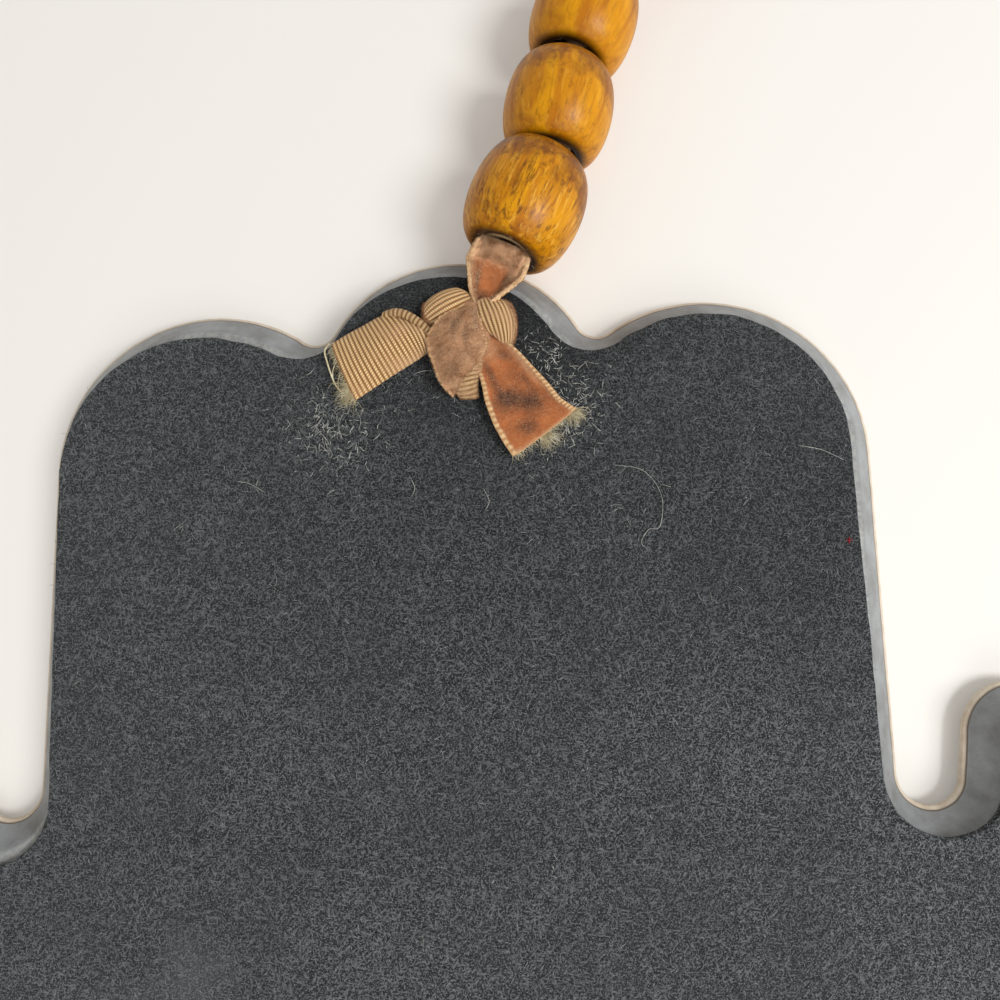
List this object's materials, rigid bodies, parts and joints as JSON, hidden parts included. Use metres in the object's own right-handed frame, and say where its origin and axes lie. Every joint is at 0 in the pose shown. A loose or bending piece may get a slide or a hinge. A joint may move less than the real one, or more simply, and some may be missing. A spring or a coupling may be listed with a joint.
{
  "type": "hamsa wall plaque",
  "caption": "Hand-shaped wall plaque with an eye relief on its front, a felt back, and a knotted velvet hanging ribbon strung with wooden barrel beads.",
  "frame": {"origin": "middle of the palm's eye on the front, in the plane that the plaque lies on, face down", "axes": "+Z out of the felt back, +Y up the middle finger to the hanging loop, +X to the right as seen from the back"},
  "size_m": [0.1786, 0.2913, 0.018],
  "materials": {
    "body": "cast resin, satin grey paint with a cream front",
    "felt": "black felt",
    "ribbon": "tan velvet, ribbed on the back",
    "bead": "stained wood, satin varnish"
  },
  "bodies": {
    "plaque": {"plaque_body": "body", "felt_backing": "felt", "ribbon_knot": "ribbon", "ribbon_tail_left": "ribbon", "ribbon_tail_right": "ribbon", "ribbon_front_strand": "ribbon"},
    "neck": {"ribbon_neck": "ribbon"},
    "strand_low": {"ribbon_core_low": "ribbon"},
    "bead_low": {"bead_low": "bead"},
    "strand_mid": {"ribbon_core_mid": "ribbon"},
    "bead_mid": {"bead_mid": "bead"},
    "strand_top": {"ribbon_core_top": "ribbon"},
    "bead_top": {"bead_top": "bead"},
    "loop": {"ribbon_loop": "ribbon"}
  },
  "joints": [
    {"name": "strand_swing", "type": "hinge", "parent": "plaque", "child": "neck", "pos_m": [0.00545, 0.09265, 0.0095], "axis": [0, 0, 1], "range_deg": [-16, 12]},
    {"name": "strand_lift", "type": "hinge", "parent": "neck", "child": "strand_low", "pos_m": [0.0081, 0.0984, 0.00962], "axis": [0.9085, -0.4179, 0], "range_deg": [0, 85]},
    {"name": "bead_low_spin", "type": "hinge", "parent": "strand_low", "child": "bead_low", "pos_m": [0.0115, 0.10579, 0.00905], "axis": [0.4168, 0.9063, -0.0698], "continuous": true},
    {"name": "strand_bend_low", "type": "hinge", "parent": "strand_low", "child": "strand_mid", "pos_m": [0.01517, 0.11376, 0.00844], "axis": [0, 0, 1], "range_deg": [-23, 0.5]},
    {"name": "bead_mid_spin", "type": "hinge", "parent": "strand_mid", "child": "bead_mid", "pos_m": [0.01699, 0.12134, 0.00863], "axis": [0.2334, 0.9721, 0.0253], "continuous": true},
    {"name": "strand_bend_high", "type": "hinge", "parent": "strand_mid", "child": "strand_top", "pos_m": [0.01881, 0.12893, 0.00883], "axis": [0, 0, 1], "range_deg": [-5.5, 17.5]},
    {"name": "bead_top_spin", "type": "hinge", "parent": "strand_top", "child": "bead_top", "pos_m": [0.02147, 0.13641, 0.00848], "axis": [0.3351, 0.9411, -0.0443], "continuous": true},
    {"name": "loop_swing", "type": "hinge", "parent": "strand_top", "child": "loop", "pos_m": [0.02425, 0.14422, 0.00811], "axis": [0, 0, 1], "range_deg": [-35, 35]}
  ]
}
